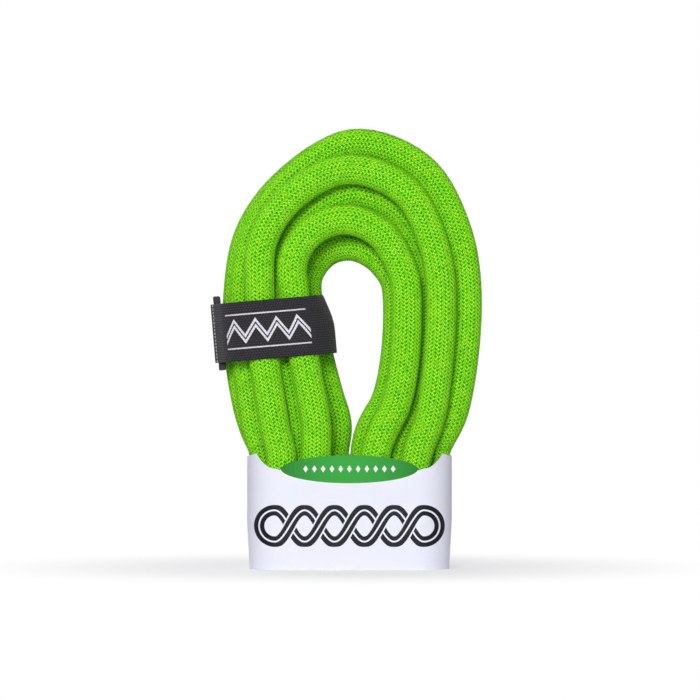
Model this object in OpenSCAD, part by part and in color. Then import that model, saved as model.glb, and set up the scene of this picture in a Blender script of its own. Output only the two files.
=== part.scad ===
// Dynamic climbing rope made up as a short hank: one unbroken rope in nine loops, a card
// sleeve round its foot and a hook-and-loop strap round its left leg.
// Millimetres. Front is -Y, up is +Z, the sleeve stands on z = 0.

/* [Rope] */
// Rope diameter; the loops are laid out in it
rope_d = 10.2; // [9.4:0.2:11]
// Clear space between two rows of loops, front to back
row_gap = 0.55; // [0.5:0.05:0.9]
// Length of the melted tip on each end of the rope
tip_len = 2.4; // [1.6:0.2:3]

/* [Card sleeve] */
// Thickness of the card
card_t = 0.45; // [0.35:0.05:0.6]
// Clear space between the rope and the card
card_gap = 0.3; // [0.25:0.05:0.5]
// Height of the sleeve's sides and back
sleeve_h = 37.5; // [36:0.5:39]
// Height of the crease below which the sides draw in
crease_z = 16.6; // [12:0.2:20]
// How far each side draws in at the foot
foot_in = 1; // [0:0.1:1.2]
// Width of the glued lap at the back
lap_w = 14; // [8:1:20]
// Width of the oval label
oval_w = 45.6; // [36:0.4:48]
// Height of the oval label
oval_h = 9.7; // [8:0.1:10]
// Thickness of the label's paper and of the glued lap's card
ply_t = 0.3; // [0.2:0.05:0.4]

/* [Strap] */
// Width of the webbing
strap_w = 19.6; // [16:0.2:22]
// Thickness of the webbing
web_t = 1; // [0.8:0.1:1.2]
// Clear space between the webbing and the rope
strap_gap = 0.2; // [0.15:0.05:0.4]
// Height of the strap's middle
strap_z = 80; // [76:1:84]
// Rise of the strap from left to right
strap_tilt = 4.8; // [3:0.2:6]
// Thickness of the hook field and of the loop field
field_t = 0.4; // [0.3:0.05:0.5]
// Turn of the loop field round the rear corner, under the free tail
tail_turn = 72; // [42:6:84]

/* [Ring] */
// Thickness of the ring's bars
bar_d = 2.2; // [1.8:0.1:2.4]
// Rounding of the end bars' edges
bar_edge = 0.5; // [0.2:0.1:0.8]
// Spacing of the front and rear bar
bar_step = 8.4; // [7.8:0.1:9]
// Clear space between a bar and the webbing round it
bar_gap = 0.05; // [0.03:0.01:0.08]
// Clear space between the webbing's edges and the ring's short sides
side_gap = 0.4; // [0.3:0.1:0.6]

/* [Hidden] */

lime = "#7FE01E";
melt = "#3E8F12";
card = "#F4F4FC";
oval = "#36A83E";
cloth = "#2E2C30";
plastic = "#1C1C20";

rope_r = rope_d / 2;
unit = rope_d / 10.2;                 // the outlines below are laid out for a 10.2 mm rope
rows = 4;
loops = 9;
row = rope_d + row_gap;
neck_z = 38.2 * unit;                 // centre of the bights in the sleeve
bight_in = 5.4 * unit;
bight_out = 28.3 * unit;
bulge = 4.2 * unit;                   // how far a bight that changes row swings outside the rest
lane = (bight_out - bight_in) / 2;
top = 14;                             // stations from neck to neck over the top of a loop
up_steps = 17;
low_steps = 7;
tip_lean = 0.2;                       // the two rope ends lean inwards off the bights

// The hank's round head, about its own centre
head = [0.6, 93];
function round_head(radii) = [for (i = [0:6])
    head + radii[i] * [cos(180 - 30 * i), sin(180 - 30 * i)]];

// Innermost and outermost loop, from neck to neck, with one station beyond each neck
inner = unit * concat([[-4, 29], [-5.4, 38.2], [-4, 47.5], [-7.1, 58], [-11.4, 75]],
    round_head([15.1, 15.4, 15.5, 15, 14.2, 14.3, 15.5]),
    [[15.9, 74], [12.8, 57], [7.5, 47.5], [5.4, 38.2], [7.5, 29]]);
outer = unit * concat([[-31.3, 31.6], [-28.3, 38.2], [-31.3, 44.8], [-34.2, 54], [-37.1, 72]],
    round_head([37.9, 39.3, 42.5, 49.2, 47.2, 40.6, 38.6]),
    [[38.2, 71], [34.9, 52.5], [31.2, 44.8], [28.3, 38.2], [31.2, 31.6]]);

// How far each row's loops lie inside the outermost place, in lanes, station by station
sways = [
    [-.5, -.5, -.6, -.65, -.65, -.45, -.4, -.52, -.6, -.7, -.75, -.75, -.65, -.5, -.5],
    [0, -.05, -.15, -.2, -.2, -.2, -.1, 0, 0, 0, 0, 0, 0, 0, 0],
    [for (i = [0:top]) 0],
    [-.5, -.5, -.5, -.5, -.5, -.45, -.4, -.4, -.4, -.45, -.5, -.5, -.5, -.5, -.5]];

function step(a, b, x) = let (t = min(1, max(0, (x - a) / (b - a)))) t * t * (3 - 2 * t);
function at(list, i) = list[min(max(i, 0), len(list) - 1)];
// Smooth curve through a list of stations
function curve(list, s, first) =
    let (k = min(floor(s), top - 1), f = s - k, j = k + first,
        a = at(list, j - 1), b = at(list, j), c = at(list, j + 1), d = at(list, j + 2))
    (2 * b + (c - a) * f + (2 * a - 5 * b + 4 * c - d) * f * f
        + (3 * b - a - 3 * c + d) * f * f * f) / 2;
function sway(r, s, lane_no) = lane_no > 0 ? curve(sways[r], s, 0) : 0;

// Lane of loop i and the rows in which it starts and finishes: the loops spiral in and out
function lane_of(i) = abs((i + 3) % 5 - 2);
function row_at(i, late) = let (g = floor((i + 3) / 5), h = (i + 3) % 5)
    rows - 2 * g - (h > 2 || (late && h == 2) ? 1 : 0);

// Point of loop i over the top, at station s
function over(i, s) =
    let (c = lane_of(i), a = row_at(i, false), b = row_at(i, true), k = step(4.2, 9.8, s),
        lean = i == 0 ? tip_lean * (1 - step(0, 3, s))
            : i == loops - 1 ? tip_lean * step(top - 3, top, s) : 0,
        u = c + (1 - k) * sway(a, s, c) + k * sway(b, s, c) - lean,
        q = curve(inner, s, 1) * (1 - u / 2) + curve(outer, s, 1) * u / 2)
    [q.x, (a + (b - a) * k - (rows - 1) / 2) * row, q.y];

// Point of the bight from loop j to the next, at fraction f of its half turn
function under(j, f) =
    let (ca = lane_of(j), va = row_at(j, true), cb = lane_of(j + 1), vb = row_at(j + 1, false),
        sa = sway(va, top, ca), sb = sway(vb, 0, cb),
        ra = bight_in + lane * (ca + sa), rb = bight_in + lane * (cb + sb),
        m = (ra + rb) / 2, e = (rb - ra) / 2, a = 180 * f,
        r0 = sqrt(m * m - pow(e * sin(a), 2)) - e * cos(a),
        swing = va == vb ? 0 : step(0, .45, f) * step(0, .45, 1 - f),
        r = r0 + (bight_out + bulge - r0) * swing, shift = (sb - sa) / 4,
        v = va + (vb - va) * step(.15 + shift, .85 + shift, f))
    [r * cos(a), (v - (rows - 1) / 2) * row, neck_z - r * sin(a)];

function unit_of(v) = v / norm(v);
// The rope's middle line from end to end; each end runs straight for one rope diameter
straight = 3.2 * unit;
first_pair = [over(0, 0), over(0, top / up_steps)];
last_pair = [over(loops - 1, top - top / up_steps), over(loops - 1, top)];
start_dir = unit_of(first_pair[0] - first_pair[1]);
finish_dir = unit_of(last_pair[1] - last_pair[0]);
line = concat([first_pair[0] + straight * start_dir],
    [for (i = [0:loops - 1]) each concat(
        [for (k = [0:up_steps - (i < loops - 1 ? 1 : 0)]) over(i, top * k / up_steps)],
        i < loops - 1 ? [for (k = [0:low_steps - 1]) under(i, k / low_steps)] : [])],
    [last_pair[1] + straight * finish_dir]);
rings = len(line);

function to_piece(p, a, b) = let (w = b - a, t = min(1, max(0, (p - a) * w / (w * w))))
    norm(p - a - t * w);
clear = min([for (i = [0:rings - 9]) for (j = [i + 7:rings - 2])
    min(to_piece(line[i], line[j], line[j + 1]),
        to_piece((line[i] + line[i + 1]) / 2, line[j], line[j + 1]))]) - rope_d;
function length_to(i) = i == 0 ? 0 : length_to(i - 1) + norm(line[i] - line[i - 1]);
echo(least_gap = clear, rope_length = length_to(rings - 1), ring_count = rings);

facet = 6;                            // degrees between two points of any bend in the webbing
seat = 0.02;                          // clear space between two layers that lie on each other

// Strap frame: x along the strap's face, y to the back, z up the webbing's width
strap_x = -25 * unit;
function strap_at(p) = let (q = p - [strap_x, 0, strap_z])
    [q.x * cos(strap_tilt) + q.z * sin(strap_tilt), q.y,
        q.z * cos(strap_tilt) - q.x * sin(strap_tilt)];
// Where the leg's strands lie between the strap's two edges
leg = [for (i = [0:rings - 2]) let (a = strap_at(line[i]), b = strap_at(line[i + 1]))
    if (a.x < 25 * unit) each concat(abs(a.z) < strap_w / 2 ? [a.x] : [],
        [for (e = [-1, 1] * strap_w / 2) if ((a.z - e) * (b.z - e) < 0)
            a.x + (b.x - a.x) * (e - a.z) / (b.z - a.z)])];
half_y = (rows - 1) / 2 * row + rope_r;
web_r = web_t / 2;
// The webbing's middle line round the leg
box_l = min(leg) - rope_r - strap_gap - web_r;
box_r = max(leg) + rope_r + strap_gap + web_r;
box_y = half_y + strap_gap + web_r;
turn_r = 12 * unit;
core_l = box_l + turn_r;
core_r = box_r - turn_r;
core_y = box_y - turn_r;
// The ring's bars; the webbing goes round them at wrap_r
bar_x = box_l - 0.1;
bar_y = [-bar_step - 0.2, -0.2];
wrap_r = bar_d / 2 + bar_gap + web_r;
// Where the tail starts, and its layers outwards from the band's outer face
tail_y = bar_y[1] + 1.7;
field_y = tail_y + 3.5;
loop_r = turn_r + web_r + seat + field_t / 2;
hook_r = loop_r + field_t + 0.1;
tail_r = hook_r + field_t / 2 + seat + web_r;

// Bend round c from angle a to angle b, both whole numbers of facets
function arc(c, r, a, b) = [for (t = [a:(b > a ? facet : -facet):b]) c + r * [cos(t), sin(t)]];
// Sideways direction at point i of a path
function side(p, i) = let (n = len(p) - 1,
        a = unit_of(p[max(i, 1)] - p[max(i, 1) - 1]),
        b = unit_of(p[min(i, n - 1) + 1] - p[min(i, n - 1)]), m = unit_of(a + b))
    [-m.y, m.x] / (m * a);

module strip(path, t, w) {
    n = len(path) - 1;
    translate([0, 0, -w / 2])
        linear_extrude(w)
            polygon(concat([for (i = [0:n]) path[i] + side(path, i) * t / 2],
                [for (i = [n:-1:0]) path[i] - side(path, i) * t / 2]));
}

module in_strap() {
    translate([strap_x, 0, strap_z])
        rotate([0, -strap_tilt, 0])
            children();
}

// Everything is moved over the middle of its own outline
reach_l = strap_x - (tail_r - core_l + web_r) * cos(strap_tilt) - strap_w / 2 * sin(strap_tilt);
reach_r = max([for (p = line) p.x]) + rope_r;
reach_f = box_y + web_r;
reach_b = max(reach_f, core_y + (tail_r + web_r) * sin(tail_turn - facet));
module placed() {
    translate([-(reach_l + reach_r) / 2, (reach_f - reach_b) / 2, 0])
        children();
}

module rope_hank() {
    sides = 6;
    function ring(i) = let (t = unit_of(line[min(i + 1, rings - 1)] - line[max(i - 1, 0)]),
            n = unit_of(cross(t, [0, 1, 0])), b = cross(n, t))
        [for (k = [0:sides - 1]) line[i] + rope_r * (n * cos(60 * k) + b * sin(60 * k))];
    last = (rings - 1) * sides;
    color(lime)
        placed()
            polyhedron(
                points = [for (i = [0:rings - 1]) each ring(i)],
                faces = concat(
                    [for (i = [0:rings - 2]) for (k = [0:sides - 1]) for (h = [0, 1])
                        let (a = i * sides + k, b = i * sides + (k + 1) % sides)
                        h == 0 ? [a, b, a + sides] : [b, b + sides, a + sides]],
                    [for (k = [1:sides - 2]) [0, k + 1, k]],
                    [for (k = [1:sides - 2]) [last, last + k, last + k + 1]]));
}

// A melted tip square to the rope's end: a short disc with a dished crown
module tip(p, dir) {
    color(melt)
        placed()
            translate(p)
                rotate([0, acos(dir.z), atan2(dir.y, dir.x)])
                    rotate_extrude($fn = 36)
                        polygon([[0, 0], [rope_r - 0.1, 0], [rope_r - 0.1, tip_len * 0.5],
                            [rope_r - 0.6, tip_len * 0.85], [rope_r - 1.6, tip_len],
                            [0, tip_len * 0.8]]);
}

module rope_end_start() {
    tip(line[0], start_dir);
}

module rope_end_finish() {
    tip(line[rings - 1], finish_dir);
}

sleeve_x = bight_out + rope_r + card_gap + card_t;
sleeve_y = half_y + card_gap + card_t;
sleeve_r = 11.5 * unit;
oval_z = sleeve_h - 4.3;
notch = [oval_w / 2 - 0.3, sleeve_h - 4.6];

// Plan of the sleeve, drawn in by inset
module plan(inset) {
    x = sleeve_x - inset;
    y = sleeve_y - inset;
    r = sleeve_r - inset;
    square([2 * x, 2 * (y - r)], center = true);
    square([2 * (x - r), 2 * y], center = true);
    for (sx = [-1, 1])
        for (sy = [-1, 1])
            translate([sx * (x - r), sy * (y - r)])
                circle(r, $fn = 72);
}

// Front outline of the sleeve, half of it; the sides draw in below the crease
function flank(x) = [[x - foot_in * 1.05, -crease_z * 0.05], [x, crease_z], [x, 60]];
module outline(inset) {
    polygon(concat(flank(sleeve_x - inset),
        [for (i = [2:-1:0]) [-flank(sleeve_x - inset)[i].x, flank(sleeve_x - inset)[i].y]]));
}

module shell(inset) {
    intersection() {
        translate([0, 0, -2])
            linear_extrude(60)
                plan(inset);
        rotate([90, 0, 0])
            translate([0, 0, -40])
                linear_extrude(80)
                    outline(inset);
    }
}

function oval_points(grow) = [for (i = [0:39])
    [(oval_w / 2 + grow) * cos(9 * i), oval_z + (oval_h / 2 + grow) * sin(9 * i)]];

// The front's top edge: an ear at each corner, a lower edge between and the oval's crown
ear = [[0, 0], [0, sleeve_h], [3.3, sleeve_h + 1.1], [4.1, sleeve_h - 0.4], [5.8, sleeve_h - 2.3],
    [7.7, sleeve_h - 3.6], [9.8, sleeve_h - 4]];
module front_edge() {
    polygon(concat([for (p = ear) [-sleeve_x + p.x, p.y]], [[-notch.x, notch.y], notch],
        [for (i = [len(ear) - 1:-1:0]) [sleeve_x - ear[i].x, ear[i].y]]));
    polygon(oval_points(0));
}

module sleeve_card() {
    split = sleeve_y - sleeve_r;
    color(card)
        placed()
            intersection() {
                difference() {
                    shell(0);
                    shell(card_t);
                }
                union() {
                    rotate([90, 0, 0])
                        translate([0, 0, split])
                            linear_extrude(40)
                                front_edge();
                    translate([-50, -split, 0])
                        cube([100, 60, sleeve_h]);
                }
            }
}

module sleeve_glue_lap() {
    color(card)
        placed()
            translate([4, sleeve_y, 0.4])
                cube([lap_w, ply_t, sleeve_h - 0.8]);
}

module sleeve_oval_label() {
    color(oval)
        placed()
            rotate([90, 0, 0])
                translate([0, 0, sleeve_y])
                    linear_extrude(ply_t)
                        polygon(oval_points(0));
}

// From the outer side of the front bar, round the leg, and round the rear bar to the tail
module strap_band() {
    c = [[core_l, -core_y], [core_r, -core_y], [core_r, core_y], [core_l, core_y]];
    row_c = [box_l + web_r + strap_gap + rope_r, row / 2];
    path = concat(
        arc([bar_x, bar_y[0]], wrap_r, 186, 204),
        arc(c[0], turn_r, 210, 270),
        arc(c[1], turn_r, 270, 360),
        arc(c[2], turn_r, 0, 90),
        arc(c[3], turn_r, 90, 180),
        arc(row_c, rope_r + strap_gap + web_r, 180, 198),
        arc([bar_x, bar_y[1]], wrap_r, 18, -180),
        [[bar_x - wrap_r, tail_y - 0.05]]);
    color(cloth)
        placed()
            in_strap()
                strip(path, web_t, strap_w);
}

// The webbing's sewn end: round the front bar and back under the band's own corner
module strap_sewn_end() {
    c = [core_l, -core_y];
    r = turn_r - web_t - seat;
    color(cloth)
        placed()
            in_strap()
                strip(concat(arc([bar_x, bar_y[0]], wrap_r, 180, 0), arc(c, r, 216, 264)),
                    web_t, strap_w);
}

// Two round bars between two end bars, which are square with rounded edges
module strap_ring() {
    half = strap_w / 2 + side_gap + bar_d / 2;
    flat = bar_d - 2 * bar_edge;
    color(plastic)
        placed()
            in_strap()
                translate([bar_x, 0, 0]) {
                    for (y = bar_y)
                        translate([0, y, -half])
                            cylinder(h = 2 * half, d = bar_d, $fn = 36);
                    for (s = [-1, 1])
                        translate([0, bar_y[1] + bar_d / 2, s * half])
                            rotate([90, 0, 0])
                                linear_extrude(bar_step + bar_d) {
                                    square([bar_d, flat], center = true);
                                    square([flat, bar_d], center = true);
                                    for (x = [-1, 1])
                                        for (z = [-1, 1])
                                            translate([x, z] * flat / 2)
                                                circle(bar_edge, $fn = 24);
                                }
                }
}

// A layer that lies on the left face and turns round the rear corner
function laid(r, y, turn) = concat([[core_l - r, y]], arc([core_l, core_y], r, 180, 180 - turn));

module strap_loop_field() {
    color(cloth)
        placed()
            in_strap()
                strip(laid(loop_r, field_y, tail_turn), field_t, strap_w - 1);
}

module strap_hook_field() {
    color(cloth)
        placed()
            in_strap()
                strip(laid(hook_r, field_y, tail_turn - 2 * facet), field_t, strap_w - 1);
}

module strap_tail() {
    color(cloth)
        placed()
            in_strap()
                strip(laid(tail_r, tail_y, tail_turn - facet), web_t, strap_w);
}

rope_hank();
rope_end_start();
rope_end_finish();
sleeve_card();
sleeve_glue_lap();
sleeve_oval_label();
strap_band();
strap_sewn_end();
strap_ring();
strap_loop_field();
strap_hook_field();
strap_tail();
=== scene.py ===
from math import cos, floor, pi, radians, sin, sqrt

import bpy
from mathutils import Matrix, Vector


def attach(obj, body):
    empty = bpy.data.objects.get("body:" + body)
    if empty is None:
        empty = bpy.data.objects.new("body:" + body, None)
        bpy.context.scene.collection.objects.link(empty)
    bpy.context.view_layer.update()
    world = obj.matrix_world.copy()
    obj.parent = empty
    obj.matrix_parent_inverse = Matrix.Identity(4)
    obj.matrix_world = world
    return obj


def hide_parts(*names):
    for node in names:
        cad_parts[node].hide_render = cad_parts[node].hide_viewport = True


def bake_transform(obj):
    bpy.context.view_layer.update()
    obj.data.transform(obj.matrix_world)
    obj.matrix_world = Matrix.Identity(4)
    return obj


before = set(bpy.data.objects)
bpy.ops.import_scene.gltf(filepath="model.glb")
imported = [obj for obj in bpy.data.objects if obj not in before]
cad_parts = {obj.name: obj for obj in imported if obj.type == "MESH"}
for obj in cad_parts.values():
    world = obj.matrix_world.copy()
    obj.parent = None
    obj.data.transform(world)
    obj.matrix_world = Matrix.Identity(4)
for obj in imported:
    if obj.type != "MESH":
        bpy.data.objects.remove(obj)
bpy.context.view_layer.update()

bl_info = {
    "name": "Dynamic Climbing Rope",
    "version": (1, 0, 0),
    "blender": (4, 5, 0),
    "location": "View3D > Sidebar > Rope",
    "description": "Dresses a climbing rope hank with its braided sheath, card sleeve and strap",
    "category": "Add Mesh",
}

MM = 0.001
# The whole part is moved by this much, so that it stands over the middle of its own outline
MOVE = Vector((1.2216, -0.3458, 0)) * MM


def srgb(code):
    """Linear colour of a hex code."""
    parts = [int(code[i:i + 2], 16) / 255 for i in (0, 2, 4)]
    return tuple(c / 12.92 if c <= 0.04045 else ((c + 0.055) / 1.055) ** 2.4 for c in parts)


def colour_prop(name, text, code):
    return bpy.props.FloatVectorProperty(
        name=name, description=text, subtype="COLOR", size=3, min=0, max=1, default=srgb(code))


def length_prop(name, text, value):
    return bpy.props.FloatProperty(
        name=name, description=text, unit="LENGTH", precision=5, min=0, default=value)


class RopeSettings(bpy.types.PropertyGroup):
    """The rope and its braided sheath"""
    diameter: length_prop("Diameter", "Diameter of the rope", 10.2 * MM)
    sides: bpy.props.IntProperty(
        name="Sides", description="Sides of the rope's mesh", min=12, max=48, default=24)
    rows: bpy.props.IntProperty(
        name="Rows", description="Rows of yarn round the sheath", min=16, max=64, default=48)
    pitch: length_prop("Pitch", "Length of one float along the rope", 1.27 * MM)
    # Lime, cool and fleck are the yarns' own colours. Shine is a painted highlight on each yarn's
    # crown, shade is a painted shade on its flanks, and the gap colour is a painted shade in the
    # hollows between yarns.
    lime: colour_prop("Lime", "Yarn of the sheath", "92FF12")
    shine: colour_prop("Shine", "Crown of a yarn", "C8FF50")
    cool: colour_prop("Cool", "The greener yarns", "3CD00C")
    shade: colour_prop("Shade", "Flank of a yarn", "5CDC0A")
    gap: colour_prop("Gap", "Hollow between the yarns", "053C03")
    fleck: colour_prop("Fleck", "The few tracer yarns", "9A7C1E")


class StrapSettings(bpy.types.PropertyGroup):
    """The hook-and-loop strap"""
    width: length_prop("Width", "Width of the webbing", 19.6 * MM)
    thickness: length_prop("Thickness", "Thickness of the webbing", 1.0 * MM)
    weft: length_prop("Weft", "Spacing of the webbing's weft", 1.0 * MM)
    warp: length_prop("Warp", "Spacing of the webbing's warp", 0.8 * MM)
    cloth: colour_prop("Cloth", "Webbing", "2E2C30")
    thread: colour_prop("Thread", "Sewing thread", "B4B2B8")
    print_ink: colour_prop("Print", "Print on the webbing", "F2F0F6")


class SleeveSettings(bpy.types.PropertyGroup):
    """The card sleeve and its label"""
    card: colour_prop("Card", "Face of the card", "EFEFFA")
    ink: colour_prop("Ink", "Printed ornament", "101019")
    label: colour_prop("Label", "Oval label", "32A23A")
    label_edge: colour_prop("Label edge", "Darker ends of the oval label", "1C7A24")


# ---------------------------------------------------------------- small helpers

def mesh_object(name, points, faces):
    mesh = bpy.data.meshes.new(name)
    mesh.from_pydata(points, [], faces)
    mesh.validate()
    piece = bpy.data.objects.new(name, mesh)
    bpy.context.scene.collection.objects.link(piece)
    return piece


def only(piece):
    """Makes piece the one selected and active object."""
    bpy.ops.object.select_all(action="DESELECT")
    piece.select_set(True)
    bpy.context.view_layer.objects.active = piece


def apply_modifier(piece, kind, **values):
    only(piece)
    bpy.ops.object.modifier_add(type=kind)
    modifier = piece.modifiers[-1]
    for key, value in values.items():
        setattr(modifier, key, value)
    bpy.ops.object.modifier_apply(modifier=modifier.name)


def smooth(piece, angle):
    only(piece)
    bpy.ops.object.shade_smooth_by_angle(angle=radians(angle))


def dress(piece, material):
    piece.data.materials.clear()
    piece.data.materials.append(material)


def new_material(name):
    """An empty material and its node tree. A noise's scale is its grains to the millimetre, such
    as 0.9 / MM."""
    material = bpy.data.materials.new(name)
    material.use_nodes = True
    material.node_tree.nodes.clear()
    return material, material.node_tree


def add(tree, kind, *feeds, **settings):
    """Adds a node with its settings and links. Its operation may follow its kind, after a colon.
    Feeds go to its inputs in order. A setting is one of its attributes, or else the input of that
    name, with _ for a space. A node or socket fed to an input is linked; the rest are values."""
    kind, _, operation = kind.partition(":")
    node = tree.nodes.new("ShaderNode" + kind)
    if operation:
        node.operation = operation
    for name in [name for name in settings if hasattr(node, name)]:
        setattr(node, name, settings.pop(name))
    inputs = [socket for socket in node.inputs if socket.enabled]
    named = {socket.name.replace(" ", "_"): socket for socket in inputs}
    fed = list(zip(inputs, feeds)) + [(named[name], value) for name, value in settings.items()]
    for socket, value in fed:
        if isinstance(value, bpy.types.Node):
            value = next(output for output in value.outputs if output.enabled)
        if isinstance(value, bpy.types.NodeSocket):
            tree.links.new(value, socket)
        else:
            socket.default_value = (*value, 1) if socket.type == "RGBA" else value
    return node


def finish_material(tree, colour, relief=None, depth=0.0, **surface):
    """Ends a material in its surface, with an optional relief of depth metres."""
    if relief is not None:
        surface["Normal"] = add(tree, "Bump", Strength=1.0, Distance=depth, Height=relief)
    add(tree, "OutputMaterial", add(tree, "BsdfPrincipled", Base_Color=colour, **surface))


# ---------------------------------------------------------------- the rope's line

# Millimetres, as in the solid. Nine loops go up the left leg, over the top and down the right leg,
# past stations 0 to 14, and bights in the sleeve join them. They lie in three lanes, from the eye
# (0) outwards, and in four rows, from the front (0) to the back.
ROWS = 4
LOOPS = 9
ROW = 10.75                     # from one row to the next
NECK = 38.2                     # height where the legs turn into the bights
IN, OUT = 5.4, 28.3             # from the middle to the innermost and outermost leg at the neck
LANE = (OUT - IN) / 2
TOP = 14                        # last station
CHANGE = 4.2, 9.8               # a loop that changes row over the top does so between these
LEAN, LEAN_OVER = 0.2, 3        # the rope's ends lean in, in lanes, over this many stations
BULGE, SWING = 4.2, 0.45        # a bight that changes row swings out, over this share of its turn
TURN_FROM, TURN_TO = 0.15, 0.85     # and changes row between these shares of its turn
TIP = 1.6                       # step of the straight ends, of which each has two
OVER_STEPS, UNDER_STEPS = 17, 7     # steps of the solid's line over the top and through a bight
ALL_ROUNDS, NECK_ROUNDS, NECK_TOP = 3, 8, 52    # rounds of smoothing: all over, and below 52 mm
HEAD_X, HEAD_Z = 0.6, 93        # middle of the hank's rounded head


def round_head(radii):
    """Places round the hank's head, every 30 degrees from left to right."""
    angles = [radians(180 - 30 * i) for i in range(len(radii))]
    return [(HEAD_X + r * cos(a), HEAD_Z + r * sin(a)) for r, a in zip(radii, angles)]


# Stations of the innermost and the outermost way, with one more at either end
INNER = [Vector(p) for p in (
    [(-4, 29), (-IN, NECK), (-4, 47.5), (-7.1, 58), (-11.4, 75)]
    + round_head([15.1, 15.4, 15.5, 15, 14.2, 14.3, 15.5])
    + [(15.9, 74), (12.8, 57), (7.5, 47.5), (IN, NECK), (7.5, 29)])]
OUTER = [Vector(p) for p in (
    [(-31.3, 31.6), (-OUT, NECK), (-31.3, 44.8), (-34.2, 54), (-37.1, 72)]
    + round_head([37.9, 39.3, 42.5, 49.2, 47.2, 40.6, 38.6])
    + [(38.2, 71), (34.9, 52.5), (31.2, 44.8), (OUT, NECK), (31.2, 31.6)])]
# How far the outer loops of each row stray from their lanes at each station, in lanes
SWAYS = [
    [-.5, -.5, -.6, -.65, -.65, -.45, -.4, -.52, -.6, -.7, -.75, -.75, -.65, -.5, -.5],
    [0, -.05, -.15, -.2, -.2, -.2, -.1, 0, 0, 0, 0, 0, 0, 0, 0],
    [0] * 15,
    [-.5, -.5, -.5, -.5, -.5, -.45, -.4, -.4, -.4, -.45, -.5, -.5, -.5, -.5, -.5]]


def step(a, b, x):
    """Rises smoothly from 0 at a to 1 at b."""
    t = min(1, max(0, (x - a) / (b - a)))
    return t * t * (3 - 2 * t)


def curve(stations, s, first=0):
    """Smooth curve through stations, at s, which counts from station first."""
    k = min(floor(s), TOP - 1)
    f = s - k
    a, b, c, d = (stations[min(max(k + first + j, 0), len(stations) - 1)] for j in (-1, 0, 1, 2))
    return (2 * b + (c - a) * f + (2 * a - 5 * b + 4 * c - d) * f ** 2
            + (3 * b - a - 3 * c + d) * f ** 3) / 2


def sway(row, s, lane):
    """How far a loop of this row and lane strays outwards at station s, in lanes."""
    return curve(SWAYS[row], s) if lane > 0 else 0


def lane_of(i):
    """Lane of loop i: 1, 2, 2, 1, 0, 1, 2, 2 and 1 for the nine loops."""
    return abs((i + 3) % 5 - 2)


def row_at(i, late):
    """Row of loop i as it comes up or, if late, as it goes down."""
    g, h = divmod(i + 3, 5)
    return ROWS - 2 * g - (1 if h > 2 or (late and h == 2) else 0)


def over(i, s):
    """Point of loop i over the top, at station s, in millimetres."""
    lane, first, last, late = lane_of(i), row_at(i, False), row_at(i, True), step(*CHANGE, s)
    out = lane + (1 - late) * sway(first, s, lane) + late * sway(last, s, lane)
    if i == 0:
        out -= LEAN * (1 - step(0, LEAN_OVER, s))
    if i == LOOPS - 1:
        out -= LEAN * step(TOP - LEAN_OVER, TOP, s)
    place = curve(INNER, s, 1) * (1 - out / 2) + curve(OUTER, s, 1) * out / 2
    return Vector((place.x, (first + (last - first) * late - (ROWS - 1) / 2) * ROW, place.y))


def under(i, f):
    """Point of the bight from loop i to the next, at fraction f of its half turn."""
    lane_a, row_a, lane_b, row_b = lane_of(i), row_at(i, True), lane_of(i + 1), row_at(i + 1, False)
    sway_a, sway_b = sway(row_a, TOP, lane_a), sway(row_b, 0, lane_b)
    start, end = IN + LANE * (lane_a + sway_a), IN + LANE * (lane_b + sway_b)
    mean, half, angle = (start + end) / 2, (end - start) / 2, pi * f
    r = sqrt(mean * mean - (half * sin(angle)) ** 2) - half * cos(angle)
    if row_a != row_b:
        r += (OUT + BULGE - r) * step(0, SWING, f) * step(0, SWING, 1 - f)
    shift = (sway_b - sway_a) / 4
    row = row_a + (row_b - row_a) * step(TURN_FROM + shift, TURN_TO + shift, f)
    return Vector((r * cos(angle), (row - (ROWS - 1) / 2) * ROW, NECK - r * sin(angle)))


def rope_line(fine):
    """The rope's middle line from end to end, in metres, fine times as dense as the solid's."""
    line = []
    for i in range(LOOPS):
        line += [over(i, TOP * k / (OVER_STEPS * fine)) for k in range(OVER_STEPS * fine)]
        if i < LOOPS - 1:
            line += [under(i, k / (UNDER_STEPS * fine)) for k in range(UNDER_STEPS * fine)]
    line.append(over(LOOPS - 1, TOP))
    first = (line[0] - over(0, TOP / OVER_STEPS)).normalized() * TIP
    last = (line[-1] - over(LOOPS - 1, TOP - TOP / OVER_STEPS)).normalized() * TIP
    line = [line[0] + first * 2, line[0] + first] + line + [line[-1] + last, line[-1] + last * 2]
    # A stiff rope rounds off its sharp turns, most of all those down by the neck
    for turn in range(NECK_ROUNDS):
        line = [line[0]] + [(a + 2 * b + c) / 4 if turn < ALL_ROUNDS or b.z < NECK_TOP else b
                            for a, b, c in zip(line, line[1:], line[2:])] + [line[-1]]
    return [p * MM + MOVE for p in line]


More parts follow.
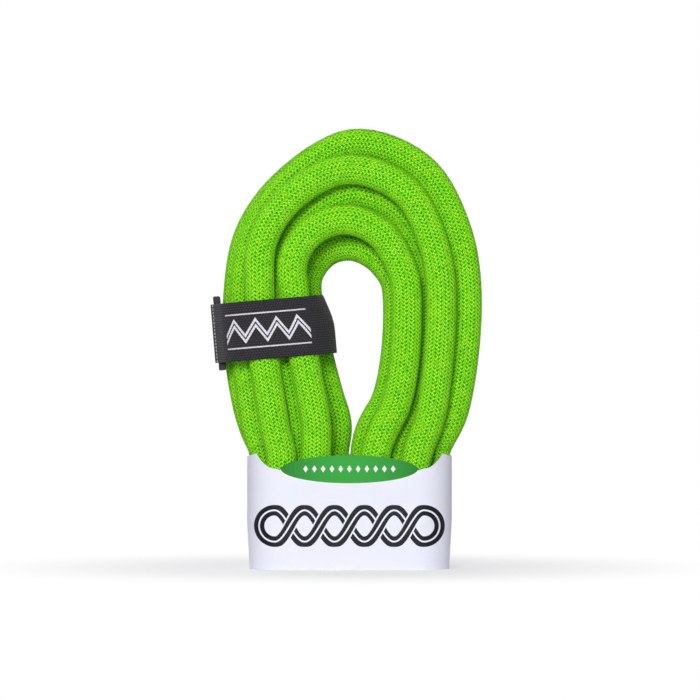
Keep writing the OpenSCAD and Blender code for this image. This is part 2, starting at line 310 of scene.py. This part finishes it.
def tube(name, line, radius, sides):
    """A tube along line, closed at both ends; its UV map is (turns round, metres along)."""
    points, faces, along = [], [], [0.0]
    last = len(line) - 1
    for i, p in enumerate(line):
        t = (line[min(i + 1, last)] - line[max(i - 1, 0)]).normalized()
        n = t.cross(Vector((0, 1, 0))).normalized()
        b = n.cross(t)
        points += [p + radius * (n * cos(2 * pi * k / sides) + b * sin(2 * pi * k / sides))
                   for k in range(sides)]
        if i:
            along.append(along[-1] + (p - line[i - 1]).length)
    for i in range(last):
        for k in range(sides):
            j = (k + 1) % sides
            faces.append((i * sides + k, (i + 1) * sides + k, (i + 1) * sides + j, i * sides + j))
    faces.append(tuple(range(sides)))
    faces.append(tuple(last * sides + k for k in reversed(range(sides))))
    piece = mesh_object(name, points, faces)
    uv = piece.data.uv_layers.new(name="UVMap")
    for face in piece.data.polygons[:-2]:
        corners = [divmod(piece.data.loops[c].vertex_index, sides) for c in face.loop_indices]
        wraps = {k for _, k in corners} == {0, sides - 1}
        for c, (i, k) in zip(face.loop_indices, corners):
            uv.data[c].uv = ((sides if wraps and k == 0 else k) / sides, along[i])
    only(piece)
    bpy.ops.object.mode_set(mode="EDIT")
    bpy.ops.mesh.select_all(action="SELECT")
    bpy.ops.mesh.normals_make_consistent(inside=False)
    bpy.ops.object.mode_set(mode="OBJECT")
    return piece


def braided_sheath(s):
    """Polyamide sheath, braided over two under two: slanted floats of yarn in rows along the rope,
    leaning one way and the other, so that they read as chevrons. Matt, with a soft sheen."""
    material, t = new_material("braided_polyamide_sheath")
    uv = add(t, "SeparateXYZ", add(t, "UVMap")).outputs
    across = add(t, "Math:MULTIPLY", uv[0], s.rows)
    along = add(t, "Math:DIVIDE", uv[1], s.pitch)
    row = add(t, "Math:FLOOR", across)
    # A float slants by this much of its length across its row, and in the next row the other way.
    # From row to row the floats are staggered by half.
    lean, stagger = 0.62, 0.5
    slant = add(t, "Math:MULTIPLY_ADD", add(t, "Math:PINGPONG", across, 1.0), lean,
                add(t, "Math:MULTIPLY", add(t, "Math:PINGPONG", row, 2.0), stagger))
    phase = add(t, "Math:ADD", slant, along)
    crown = add(t, "Math:SINE", add(t, "Math:MULTIPLY", add(t, "Math:FRACT", phase), pi))
    flank = add(t, "Math:MULTIPLY", add(t, "Math:PINGPONG", across, 0.5), 3.2, use_clamp=True)
    height = add(t, "Math:MULTIPLY", crown, add(t, "Math:MULTIPLY_ADD", flank, 0.6, 0.4))
    # The ramp paints each float by its height: gap colour in the hollows and shade on the flanks as
    # painted shade, lime above them, and shine on the crown as a painted highlight.
    ramp = add(t, "ValToRGB", height)
    ramp.color_ramp.elements[0].color = (*s.gap, 1)
    ramp.color_ramp.elements[1].color = (*s.shine, 1)
    for place, colour in ((0.27, s.shade), (0.45, s.lime)):
        ramp.color_ramp.elements.new(place).color = (*colour, 1)
    # Some floats are greener than others, and a few of them much greener
    chance = add(t, "TexWhiteNoise", add(t, "CombineXYZ", row, add(t, "Math:FLOOR", phase)),
                 noise_dimensions="2D")
    greener = add(t, "Math:MULTIPLY", add(t, "Math:POWER", chance, 3.0), 0.6)
    yarn = add(t, "Mix", greener, ramp, s.cool, data_type="RGBA")
    # Painted shade in dark hollows down every second furrow, staggered; one in five holds a brown
    # tracer yarn instead.
    # They fade by these amounts over a row's width and over a float's length.
    narrow, short, tracers = 1.05, 2.5, 0.2
    furrow = add(t, "Math:FLOOR", add(t, "Math:MULTIPLY_ADD", across, 0.5, 0.5))
    steps = add(t, "Math:MULTIPLY_ADD", furrow, stagger, along)
    beside = add(t, "Math:MULTIPLY_ADD", add(t, "Math:PINGPONG", across, 1.0), -narrow, 1.0,
                 use_clamp=True)
    before = add(t, "Math:MULTIPLY_ADD", add(t, "Math:PINGPONG", steps, 0.5), -short, 1.0,
                 use_clamp=True)
    spot = add(t, "CombineXYZ", furrow, add(t, "Math:ROUND", steps))
    chances = add(t, "SeparateColor", add(t, "TexWhiteNoise", spot, noise_dimensions="2D")
                  .outputs["Color"]).outputs
    hollow = add(t, "Math:MULTIPLY", add(t, "Math:MULTIPLY", beside, before),
                 add(t, "Math:MULTIPLY_ADD", chances[0], 0.3, 0.95), use_clamp=True)
    traced = add(t, "Math:GREATER_THAN", chances[1], 1 - tracers)
    # The gap colour here is painted shade in the hollow; the fleck is the tracer yarn's own colour
    shade_and_tracers = add(t, "Mix", traced, s.gap, s.fleck, data_type="RGBA")
    yarn = add(t, "Mix", hollow, yarn, shade_and_tracers, data_type="RGBA")
    finish_material(t, yarn, height, 0.3 * MM, Roughness=0.8, Specular_IOR_Level=0.08,
                    Diffuse_Roughness=1.0, Sheen_Weight=0.6, Sheen_Roughness=0.5,
                    Sheen_Tint=s.lime)
    return material


# ---------------------------------------------------------------- the strap

# Millimetres and degrees in the strap's own frame, which is tilted: x to the right, y to the back
STRAP_AT = Vector((-25, 0, 80))
TILT = radians(4.8)
CORE_L, CORE_R, CORE_Y = -6.4045, 7.571, 9.925      # centres of the band's four round corners
TURN = 12.0                                         # radius of the corners, to the band's middle
BAR_X, BAR_A, BAR_B = -18.5045, -8.6, -0.2          # the ring's front and rear bars
WRAP = 1.65                                         # radius of the webbing's turn round a bar
SEWN_DROP = 1.02                                    # the sewn end lies this far under the band
BEND_X, TAIL_Y, BEND_Y = -20, 1.5, 4.6              # the tail starts at TAIL_Y and bends to BEND_Y
FIELD_Y = 5.0                                       # where the two fields start
LOOP_R, HOOK_R, TAIL_R = 12.72, 13.22, 13.94        # the layers' radii round the rear corner
LOOP_TURN, HOOK_TURN, TAIL_TURN = 72, 60, 66        # and how far they go round it
BAND_LEAN = 4.6                                     # the band's upper right edge leans in by this
FIELD_MARGIN = 1                                    # the fields are this much narrower
FIELD_THICKNESS, FIELD_ROUNDED = 0.4, 0.1
STITCH = Vector((0.56, 0.42, 0.84)) * MM            # width, thickness and length of a stitch
STITCH_STEP, STITCHES = 1.15, 17


def in_strap(x, y, z):
    """A place in the strap's own frame (millimetres) as a place in the part's (metres)."""
    return Vector((STRAP_AT.x + x * cos(TILT) - z * sin(TILT), STRAP_AT.y + y,
                   STRAP_AT.z + x * sin(TILT) + z * cos(TILT))) * MM + MOVE


def bend(centre, radius, start, end, by=3):
    """Points on an arc from angle start to end, about every by degrees."""
    count = max(1, round(abs(end - start) / by))
    angles = [radians(start + (end - start) * k / count) for k in range(count + 1)]
    return [(centre[0] + radius * cos(a), centre[1] + radius * sin(a)) for a in angles]


def run(a, b, count):
    """Points from a to b, without b."""
    return [(a[0] + (b[0] - a[0]) * k / count, a[1] + (b[1] - a[1]) * k / count)
            for k in range(count)]


def band_path():
    """From the front bar round the leg and back to the rear bar."""
    path = bend((BAR_X, BAR_A), WRAP, 184, 204, 4)
    bends = [bend((CORE_L, -CORE_Y), TURN, 210, 270), bend((CORE_R, -CORE_Y), TURN, 270, 360),
             bend((CORE_R, CORE_Y), TURN, 0, 90), bend((CORE_L, CORE_Y), TURN, 90, 180),
             bend((BAR_X + 5.9, 5.375), 5.8, 180, 198, 6), bend((BAR_X, BAR_B), WRAP, 18, -180, 6)]
    for points in bends:
        path = path + run(path[-1], points[0], 3)[1:] + points
    return path + [(BAR_X - WRAP, TAIL_Y - 0.03)]


def sewn_end_path():
    """Round the front bar and back under the band."""
    wrap = bend((BAR_X, BAR_A), WRAP, 181, 0, 6)
    under_layer = bend((CORE_L, -CORE_Y), TURN - SEWN_DROP, 216, 264)
    return wrap + run(wrap[-1], under_layer[0], 4)[1:] + under_layer


def laid_path(start, radius, turn, count):
    """From start up the side of the leg, and round the rear corner by turn degrees."""
    corner = bend((CORE_L, CORE_Y), radius, 180, 180 - turn)
    return run(start, corner[0], count) + corner


def field_path(radius, turn):
    """From the fields' start, at the radius of their layer."""
    return laid_path((CORE_L - radius, FIELD_Y), radius, turn, 8)


def tail_path():
    """From the rear bar past the tail's bend, and on as it is laid."""
    bent = (CORE_L - TAIL_R, BEND_Y)
    return run((BAR_X - WRAP, TAIL_Y), bent, 8) + laid_path(bent, TAIL_R, TAIL_TURN, 6)


def webbing(name, path, width, thickness, columns=8, rounded=0.3, lean=0):
    """A flat strip on edge along path: a grid laid along it, thickened, its long edges rounded.
    Its UV map is (metres along, metres across). The upper edge leans in by lean on the right."""
    last = len(path) - 1
    along = [0.0]
    for a, b in zip(path, path[1:]):
        along.append(along[-1] + sqrt((b[0] - a[0]) ** 2 + (b[1] - a[1]) ** 2))
    bpy.ops.object.select_all(action="DESELECT")
    bpy.ops.mesh.primitive_grid_add(x_subdivisions=last, y_subdivisions=columns, size=1)
    piece = bpy.context.object
    piece.name = piece.data.name = name
    places = [(round((v.co.x + 0.5) * last), round((v.co.y + 0.5) * columns))
              for v in piece.data.vertices]
    for v, (i, j) in zip(piece.data.vertices, places):
        x, y = path[i]
        across = j / columns - 0.5
        v.co = in_strap(x - lean * step(-0.1, 0.9, across) * step(CORE_L, CORE_R + TURN, x), y,
                        width * across)
    uv = piece.data.uv_layers.active.data
    for loop in piece.data.loops:
        i, j = places[loop.vertex_index]
        uv[loop.index].uv = (along[i] * MM, width * (j / columns - 0.5) * MM)
    apply_modifier(piece, "SOLIDIFY", thickness=thickness * MM, offset=0, use_even_offset=True)
    # The thickened grid has its vertices twice over, so a place is found by the remainder
    count = len(places)
    for e in piece.data.edges:
        a, b = e.vertices
        (ia, ja), (ib, jb) = places[a % count], places[b % count]
        e.select = ia != ib and ja == jb and ja in (0, columns) and a // count == b // count
    bpy.context.tool_settings.mesh_select_mode = (False, True, False)
    bpy.ops.object.mode_set(mode="EDIT")
    bpy.ops.mesh.bevel(offset=rounded * MM, segments=3, affect="EDGES")
    bpy.ops.object.mode_set(mode="OBJECT")
    smooth(piece, 40)
    return piece


def woven_webbing(s, printed):
    """Polyester webbing, woven plain: short ribs across, offset from one warp to the next. Matt
    and near black; printed webbing carries a white zigzag between two lines. The real threads are
    half as far apart, and are drawn this coarse so that they show."""
    material, t = new_material("woven_webbing_printed" if printed else "woven_webbing")
    flat = add(t, "UVMap")
    uv = add(t, "SeparateXYZ", flat).outputs
    warp = add(t, "Math:DIVIDE", uv[1], s.warp)
    offset = add(t, "Math:MULTIPLY", add(t, "Math:FLOOR", warp), 0.5)
    weft = add(t, "Math:ADD", add(t, "Math:DIVIDE", uv[0], s.weft), offset)
    waves = [add(t, "Math:SINE", add(t, "Math:MULTIPLY", add(t, "Math:FRACT", thread), pi))
             for thread in (weft, warp)]
    height = add(t, "Math:MULTIPLY", *waves)
    fibre = add(t, "TexNoise", flat, Scale=2.6 / MM, Detail=2.0)
    # The ribs' crowns are painted paler and the hollows between them darker, a painted highlight
    # and shade of the weave, broken up by the fibres' own random tone.
    light = add(t, "Math:MULTIPLY", height, add(t, "Math:MULTIPLY", fibre, 1.2))
    dark, pale = [[c * share for c in s.cloth] for share in (0.45, 2.9)]
    colour = add(t, "Mix", light, dark, pale, data_type="RGBA")
    if printed:
        # A double zigzag between two rules; the places are metres along and across the webbing
        middle, half_length, tooth, tooth_height = 24.6 * MM, 14.4 * MM, 3.6 * MM, 5.2 * MM
        line_at, half_line, rule_at, half_rule = 1.0 * MM, 0.62 * MM, 5.6 * MM, 0.22 * MM
        x = add(t, "Math:ABSOLUTE", add(t, "Math:SUBTRACT", uv[0], middle))
        rise = add(t, "Math:PINGPONG", add(t, "Math:DIVIDE", x, tooth), 1.0)
        zigzag = add(t, "Math:MULTIPLY", add(t, "Math:SUBTRACT", rise, 0.5), tooth_height)
        away = add(t, "Math:ABSOLUTE", add(t, "Math:SUBTRACT", uv[1], zigzag))
        lines = add(t, "Math:COMPARE", away, line_at, half_line)
        rules = add(t, "Math:COMPARE", add(t, "Math:ABSOLUTE", uv[1]), rule_at, half_rule)
        ink = add(t, "Math:MULTIPLY", add(t, "Math:MAXIMUM", lines, rules),
                  add(t, "Math:LESS_THAN", x, half_length))
        # The ink is painted fainter between the ribs: painted shade in the weave's hollows
        ink = add(t, "Math:MULTIPLY", ink, add(t, "Math:MULTIPLY_ADD", height, 0.2, 0.8))
        colour = add(t, "Mix", ink, colour, s.print_ink, data_type="RGBA")
    finish_material(t, colour, height, 0.18 * MM, Roughness=0.7, Specular_IOR_Level=0.12,
                    Sheen_Weight=0.1, Sheen_Roughness=0.5)
    return material


def loop_nap():
    """Polyamide loop tape: a matt nap of tangled loops."""
    material, t = new_material("loop_nap")
    height = add(t, "TexNoise", add(t, "UVMap"), Scale=1.4 / MM, Detail=4.0, Roughness=0.7)
    # Paler where the nap stands higher and darker deep in it: painted highlight and shade, over the
    # loops' random tone.
    colour = add(t, "Mix", height, srgb("1B1A1D"), srgb("444247"), data_type="RGBA")
    finish_material(t, colour, height, 0.3 * MM, Roughness=0.85)
    return material


def hook_rows():
    """Polyamide hook tape: stiff little hooks in rows, 0.9 mm apart."""
    material, t = new_material("hook_rows")
    uv = add(t, "SeparateXYZ", add(t, "UVMap")).outputs
    waves = [add(t, "Math:ABSOLUTE", add(t, "Math:SINE", add(
        t, "Math:MULTIPLY", way, pi / (0.9 * MM)))) for way in (uv[0], uv[1])]
    height = add(t, "Math:POWER", add(t, "Math:MULTIPLY", *waves), 2.0)
    # Paler on the hooks' tops and darker between the rows: painted highlight and shade.
    colour = add(t, "Mix", height, srgb("141316"), srgb("3A383D"), data_type="RGBA")
    finish_material(t, colour, height, 0.4 * MM, Roughness=0.85)
    return material


# ---------------------------------------------------------------- card and plastic

def white_board(t, s):
    """The board's own colour, faintly clouded by its fibres, and the height of those fibres."""
    coord = add(t, "TexCoord").outputs["Object"]
    fibre = add(t, "TexNoise", coord, Scale=0.9 / MM, Detail=3.0)
    cloud = add(t, "TexNoise", coord, Scale=0.14 / MM, Detail=2.0)
    both = add(t, "Math:MULTIPLY", add(t, "Math:ADD", fibre, cloud), 0.5)
    return add(t, "Mix", both, [c * 0.93 for c in s.card], s.card, data_type="RGBA"), fibre


def printed_card(s):
    """Coated white board, 0.45 mm: smooth, faintly blue, with a plait of two strands in near-black
    ink round its front."""
    material, t = new_material("coated_white_board")
    half_wave, swing, middle = 9.9 * MM, 5.2 * MM, 14.6 * MM
    # A strand is two inked bands, with a fine clear line between them and clear card beside them
    band_at, half_band, beside = 1.015 * MM, 0.735 * MM, 2.3 * MM
    at = add(t, "SeparateXYZ", add(t, "TexCoord").outputs["Object"]).outputs
    face = add(t, "SeparateXYZ", add(t, "NewGeometry").outputs["True Normal"]).outputs
    x = add(t, "Math:SUBTRACT", at[0], MOVE.x)
    z = add(t, "Math:SUBTRACT", at[2], middle)
    angle = add(t, "Math:MULTIPLY", x, pi / half_wave)
    wave = add(t, "Math:MULTIPLY", add(t, "Math:SINE", angle), swing)
    turn = add(t, "Math:COSINE", angle)
    slope = add(t, "Math:MULTIPLY", turn, swing * pi / half_wave)
    steep = add(t, "Math:SQRT", add(t, "Math:MULTIPLY_ADD", slope, slope, 1.0))
    first, second = [add(t, "Math:DIVIDE", add(t, "Math:ABSOLUTE", add(
        t, "Math:" + way, z, wave)), steep) for way in ("SUBTRACT", "ADD")]
    # The strands take turns to lie on top
    upper = add(t, "Math:GREATER_THAN", turn, 0.0)
    on_top = add(t, "Mix", upper, second, first, data_type="FLOAT")
    below = add(t, "Mix", upper, first, second, data_type="FLOAT")
    # At either end the two join in a half ring
    past = add(t, "Math:SUBTRACT", add(t, "Math:ABSOLUTE", x), 2.5 * half_wave)
    end = add(t, "Math:GREATER_THAN", past, 0.0)
    reach = add(t, "Math:SQRT", add(t, "Math:MULTIPLY_ADD", past, past, add(
        t, "Math:MULTIPLY", z, z)))
    ring = add(t, "Math:ABSOLUTE", add(t, "Math:SUBTRACT", reach, swing))
    on_top = add(t, "Mix", end, on_top, ring, data_type="FLOAT")
    below = add(t, "Math:ADD", below, end)
    lying, passing = [add(t, "Math:COMPARE", way, band_at, half_band) for way in (on_top, below)]
    passing = add(t, "Math:MULTIPLY", passing, add(t, "Math:GREATER_THAN", on_top, beside))
    # Only the outer face of the front is printed
    outside = add(t, "Math:MULTIPLY", add(t, "Math:LESS_THAN", face[1], -0.15),
                  add(t, "Math:LESS_THAN", at[1], -10 * MM))
    ink = add(t, "Math:MULTIPLY", add(t, "Math:MAXIMUM", lying, passing), outside)
    board, fibre = white_board(t, s)
    colour = add(t, "Mix", ink, board, s.ink, data_type="RGBA")
    finish_material(t, colour, fibre, 0.02 * MM, Roughness=0.5, Specular_IOR_Level=0.15)
    return material


def plain_board(s):
    """The same board, unprinted, as on the glued lap."""
    material, t = new_material("plain_white_board")
    board, fibre = white_board(t, s)
    finish_material(t, board, fibre, 0.02 * MM, Roughness=0.55)
    return material


def label_paper(s):
    """Green printed paper, darker towards its ends, with a row of small white diamonds and a white
    rim below."""
    material, t = new_material("printed_label_paper")
    half_length, half_height, middle = 22.8 * MM, 4.85 * MM, 33.6 * MM
    pitch, diamonds, diamonds_at = 2.9 * MM, 11, 33.5 * MM
    half_diamond, slender = 0.4, 1.5        # half a diamond's height in pitches, and its slimness
    white = srgb("F4F8F4")
    at = add(t, "SeparateXYZ", add(t, "TexCoord").outputs["Object"]).outputs
    x = add(t, "Math:SUBTRACT", at[0], MOVE.x)
    side = add(t, "Math:ABSOLUTE", x)
    far = add(t, "Math:DIVIDE", side, half_length)
    ends = add(t, "Math:MULTIPLY", far, far, use_clamp=True)
    green = add(t, "Mix", ends, s.label, s.label_edge, data_type="RGBA")
    high = add(t, "Math:DIVIDE", add(t, "Math:SUBTRACT", at[2], middle), half_height)
    past = add(t, "Math:GREATER_THAN", add(t, "Math:MULTIPLY_ADD", high, high, ends), 1.0)
    rim = add(t, "Math:MULTIPLY", past, add(t, "Math:LESS_THAN", high, 0.0))
    green = add(t, "Mix", rim, green, white, data_type="RGBA")
    out = add(t, "Math:PINGPONG", add(t, "Math:DIVIDE", x, pitch), 0.5)
    up = add(t, "Math:DIVIDE", add(t, "Math:ABSOLUTE", add(
        t, "Math:SUBTRACT", at[2], diamonds_at)), pitch)
    inside = add(t, "Math:LESS_THAN", add(t, "Math:MULTIPLY_ADD", out, slender, up), half_diamond)
    diamond = add(t, "Math:MULTIPLY", inside, add(
        t, "Math:LESS_THAN", side, diamonds / 2 * pitch))
    colour = add(t, "Mix", diamond, green, white, data_type="RGBA")
    finish_material(t, colour, Roughness=0.5, Specular_IOR_Level=0.15)
    return material


def moulded_plastic():
    """Black acetal, injection moulded: satin, with a faint grain and paler flow marks."""
    material, t = new_material("moulded_acetal")
    coord = add(t, "TexCoord").outputs["Object"]
    grain = add(t, "TexNoise", coord, Scale=1.8 / MM, Detail=2.0)
    flow = add(t, "TexNoise", coord, Scale=0.26 / MM, Detail=3.0)
    colour = add(t, "Mix", flow, srgb("131215"), srgb("27262A"), data_type="RGBA")
    finish_material(t, colour, grain, 0.02 * MM, Roughness=0.5, Specular_IOR_Level=0.2)
    return material


def melted_polyamide(s):
    """Cut end sealed with a hot knife: darker, glassy and uneven."""
    material, t = new_material("melted_polyamide")
    lumps = add(t, "TexNoise", add(t, "TexCoord").outputs["Object"], Scale=0.42 / MM, Detail=3.0)
    colour = add(t, "Mix", lumps, s.shade, srgb("1D4A0C"), data_type="RGBA")
    finish_material(t, colour, lumps, 0.5 * MM, Roughness=0.3)
    return material


def sewing_thread(s):
    """Bonded polyester thread, grey against the webbing, mottled by its twist."""
    material, t = new_material("sewing_thread")
    ply = add(t, "TexNoise", add(t, "TexCoord").outputs["Object"], Scale=4 / MM)
    colour = add(t, "Mix", ply, s.thread, [c * 0.5 for c in s.thread], data_type="RGBA")
    finish_material(t, colour, ply, 0.05 * MM, Roughness=0.6)
    return material


# ---------------------------------------------------------------- the stage

LOOK_AT = Vector((0, 0, 0.07))
# Name, place, width in metres and power in watts
LAMPS = (("key_lamp", (-0.2, -1.85, 0.5), 0.5, 22.5),
         ("fill_lamp", (0.45, -1.85, 0.05), 0.7, 7),
         ("top_lamp", (-0.2, -0.3, 1.4), 1.0, 3.0),
         ("rear_lamp", (-0.5, 1.8, 0.6), 1.2, 22))


def shows_background(t):
    """1 on the rays that show the surroundings: direct, reflected or through something clear."""
    path = add(t, "LightPath").outputs
    return add(t, "Math:MAXIMUM", path["Is Camera Ray"], add(
        t, "Math:MAXIMUM", path["Is Glossy Ray"], path["Is Transmission Ray"]))


def white_studio():
    """A white surrounding that lights the object only a little."""
    glow = 0.14
    world = bpy.data.worlds.new("white_studio")
    world.use_nodes = True
    t = world.node_tree
    t.nodes.clear()
    seen = shows_background(t)
    tint = add(t, "Mix", seen, srgb("DDDEFF"), srgb("FFFFFF"), data_type="RGBA")
    level = add(t, "Math:MULTIPLY_ADD", seen, 1 - glow, glow)
    add(t, "OutputWorld", add(t, "Background", tint, level))
    return world


def white_floor():
    """Matt white floor: it keeps the shadow about the object's foot, and fades to plain white."""
    material, t = new_material("white_floor")
    near, far, foot = 0.03, 0.14, 0.6       # metres from the middle, and the white at the foot
    away = add(t, "VectorMath:LENGTH", add(t, "TexCoord").outputs["Object"])
    fade = add(t, "MapRange", away, near, far, interpolation_type="SMOOTHSTEP")
    white = add(t, "Math:MULTIPLY", add(t, "Math:MULTIPLY_ADD", fade, 1 - foot, foot),
                shows_background(t))
    matt = add(t, "BsdfDiffuse", srgb("EFEFEF"))
    plain = add(t, "Emission", srgb("FFFFFF"), 1.0)
    add(t, "OutputMaterial", add(t, "MixShader", white, matt, plain))
    return material


def soft_lamp(name, place, size, power):
    data = bpy.data.lights.new(name, "AREA")
    data.shape = "DISK"
    data.size = size
    data.energy = power
    lamp = bpy.data.objects.new(name, data)
    bpy.context.scene.collection.objects.link(lamp)
    lamp.location = place
    lamp.visible_camera = False
    lamp.rotation_euler = (LOOK_AT - Vector(place)).to_track_quat("-Z", "Y").to_euler()


# ---------------------------------------------------------------- operators

class ROPE_OT_camera(bpy.types.Operator):
    """Place a level camera with a long lens in front of the hank"""
    bl_idname = "rope.camera"
    bl_label = "Camera"

    def execute(self, context):
        # Metres to the hank's front and across the view there
        distance, view_width, front = 1.7, 0.23333, 0.012
        data = bpy.data.cameras.new("front_camera")
        data.sensor_width = 36
        data.lens = data.sensor_width * distance / view_width
        data.clip_end = 50
        camera = bpy.data.objects.new("front_camera", data)
        context.scene.collection.objects.link(camera)
        camera.location = (0.0002 + MOVE.x, -distance - front, 0.0729)
        camera.rotation_euler = (radians(90), 0, 0)
        context.scene.camera = camera
        return {"FINISHED"}


class ROPE_OT_hank(bpy.types.Operator):
    """Lay the rope in its nine loops, with its two melted tips"""
    bl_idname = "rope.hank"
    bl_label = "Rope"

    def execute(self, context):
        s = context.scene.rope_settings
        line = rope_line(fine=6)
        rope = tube("rope_in_loops", line, s.diameter / 2, s.sides)
        smooth(rope, 60)
        dress(rope, braided_sheath(s))
        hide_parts("rope_hank")
        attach(rope, "hank")
        tips = [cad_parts[n] for n in ("rope_end_start", "rope_end_finish")]
        seal = melted_polyamide(s)
        for tip in tips:
            dress(tip, seal)
        return {"FINISHED"}


class ROPE_OT_strap(bpy.types.Operator):
    """Lay the strap's webbing round the leg, its sewn end round the front bar"""
    bl_idname = "rope.strap"
    bl_label = "Strap"

    def execute(self, context):
        s = context.scene.strap_settings
        width, thick = s.width / MM, s.thickness / MM
        band = webbing("strap_band_webbing", band_path(), width, thick, lean=BAND_LEAN)
        dress(band, woven_webbing(s, printed=True))
        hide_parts("strap_band")
        sewn = webbing("strap_sewn_end_webbing", sewn_end_path(), width, thick)
        dress(sewn, woven_webbing(s, printed=False))
        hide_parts("strap_sewn_end")
        loops = webbing("strap_loop_nap", field_path(LOOP_R, LOOP_TURN), width - FIELD_MARGIN,
                        FIELD_THICKNESS, rounded=FIELD_ROUNDED)
        dress(loops, loop_nap())
        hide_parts("strap_loop_field")
        for piece, slot in ((band, "webbing"), (sewn, "webbing"), (loops, "loop_field")):
            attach(piece, "hank")
        dress(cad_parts["strap_ring"], moulded_plastic())
        return {"FINISHED"}


class ROPE_OT_flap(bpy.types.Operator):
    """Lay the free tail back over the band, with the hook field under it"""
    bl_idname = "rope.flap"
    bl_label = "Strap tail"

    def execute(self, context):
        s = context.scene.strap_settings
        width, thick = s.width / MM, s.thickness / MM
        tail = webbing("strap_tail_webbing", tail_path(), width, thick)
        dress(tail, bpy.data.materials["woven_webbing"])
        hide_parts("strap_tail")
        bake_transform(tail)
        hooks = webbing("strap_hook_rows", field_path(HOOK_R, HOOK_TURN), width - FIELD_MARGIN,
                        FIELD_THICKNESS, rounded=FIELD_ROUNDED)
        dress(hooks, hook_rows())
        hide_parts("strap_hook_field")
        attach(hooks, "strap_flap")
        return {"FINISHED"}


class ROPE_OT_stitches(bpy.types.Operator):
    """Sew the webbing's end down with a row of stitches beside the front bar"""
    bl_idname = "rope.stitches"
    bl_label = "Stitches"

    def execute(self, context):
        # On the band's outer face, between the bar and the corner
        a = Vector(bend((BAR_X, BAR_A), WRAP, 204, 204)[0])
        b = Vector(bend((CORE_L, -CORE_Y), TURN, 210, 210)[0])
        out = (b - a).orthogonal().normalized()
        at = a + (b - a) * 0.2 + (out if out.x < 0 else -out) * 0.5
        places = [in_strap(at.x, at.y, (k - STITCHES // 2) * STITCH_STEP) for k in range(STITCHES)]
        # One stitch, a bulge of thread that dives in at both ends, and its copies in a row
        bpy.ops.object.select_all(action="DESELECT")
        bpy.ops.mesh.primitive_uv_sphere_add(segments=8, ring_count=6, radius=0.5, scale=STITCH,
                                             location=places[0], rotation=(0, -TILT, 0))
        row = context.object
        row.name = row.data.name = "strap_stitches"
        for place in places[1:]:
            stitch = row.copy()
            stitch.data = row.data.copy()
            stitch.location = place
            context.scene.collection.objects.link(stitch)
            stitch.select_set(True)
        bpy.ops.object.join()
        bpy.ops.object.transform_apply(location=True, rotation=True, scale=True)
        smooth(row, 60)
        dress(row, sewing_thread(context.scene.strap_settings))
        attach(row, "hank")
        return {"FINISHED"}


class ROPE_OT_sleeve(bpy.types.Operator):
    """Print the card sleeve, its lap and its oval label"""
    bl_idname = "rope.sleeve"
    bl_label = "Card sleeve"

    def execute(self, context):
        s = context.scene.sleeve_settings
        dress(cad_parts["sleeve_card"], printed_card(s))
        dress(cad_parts["sleeve_glue_lap"], plain_board(s))
        dress(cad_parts["sleeve_oval_label"], label_paper(s))
        return {"FINISHED"}


class ROPE_OT_stage(bpy.types.Operator):
    """Set up a white floor and soft lamps"""
    bl_idname = "rope.stage"
    bl_label = "Stage"

    def execute(self, context):
        context.scene.world = white_studio()
        bpy.ops.object.select_all(action="DESELECT")
        bpy.ops.mesh.primitive_circle_add(vertices=96, radius=4, fill_type="NGON")
        floor_disc = context.object
        floor_disc.name = floor_disc.data.name = "studio_floor"
        dress(floor_disc, white_floor())
        for lamp in LAMPS:
            soft_lamp(*lamp)
        context.scene.view_settings.view_transform = "Standard"
        return {"FINISHED"}


OPERATORS = (ROPE_OT_camera, ROPE_OT_hank, ROPE_OT_strap, ROPE_OT_flap, ROPE_OT_stitches,
             ROPE_OT_sleeve, ROPE_OT_stage)


class ROPE_PT_panel(bpy.types.Panel):
    """Pieces of the climbing rope"""
    bl_idname = "ROPE_PT_panel"
    bl_label = "Climbing Rope"
    bl_space_type = "VIEW_3D"
    bl_region_type = "UI"
    bl_category = "Rope"

    def draw(self, context):
        for operator in OPERATORS:
            self.layout.operator(operator.bl_idname)


SETTINGS = {"rope_settings": RopeSettings, "strap_settings": StrapSettings,
            "sleeve_settings": SleeveSettings}


def register():
    for group in SETTINGS.values():
        bpy.utils.register_class(group)
    for name, group in SETTINGS.items():
        setattr(bpy.types.Scene, name, bpy.props.PointerProperty(type=group))
    for item in OPERATORS + (ROPE_PT_panel,):
        bpy.utils.register_class(item)


def unregister():
    for item in reversed(OPERATORS + (ROPE_PT_panel,)):
        bpy.utils.unregister_class(item)
    for name in SETTINGS:
        delattr(bpy.types.Scene, name)
    for group in reversed(SETTINGS.values()):
        bpy.utils.unregister_class(group)


def main():
    register()
    bpy.ops.rope.camera()
    bpy.ops.rope.hank()
    bpy.ops.rope.strap()
    bpy.ops.rope.flap()
    bpy.ops.rope.stitches()
    bpy.ops.rope.sleeve()
    bpy.ops.rope.stage()


if __name__ == "__main__":
    main()
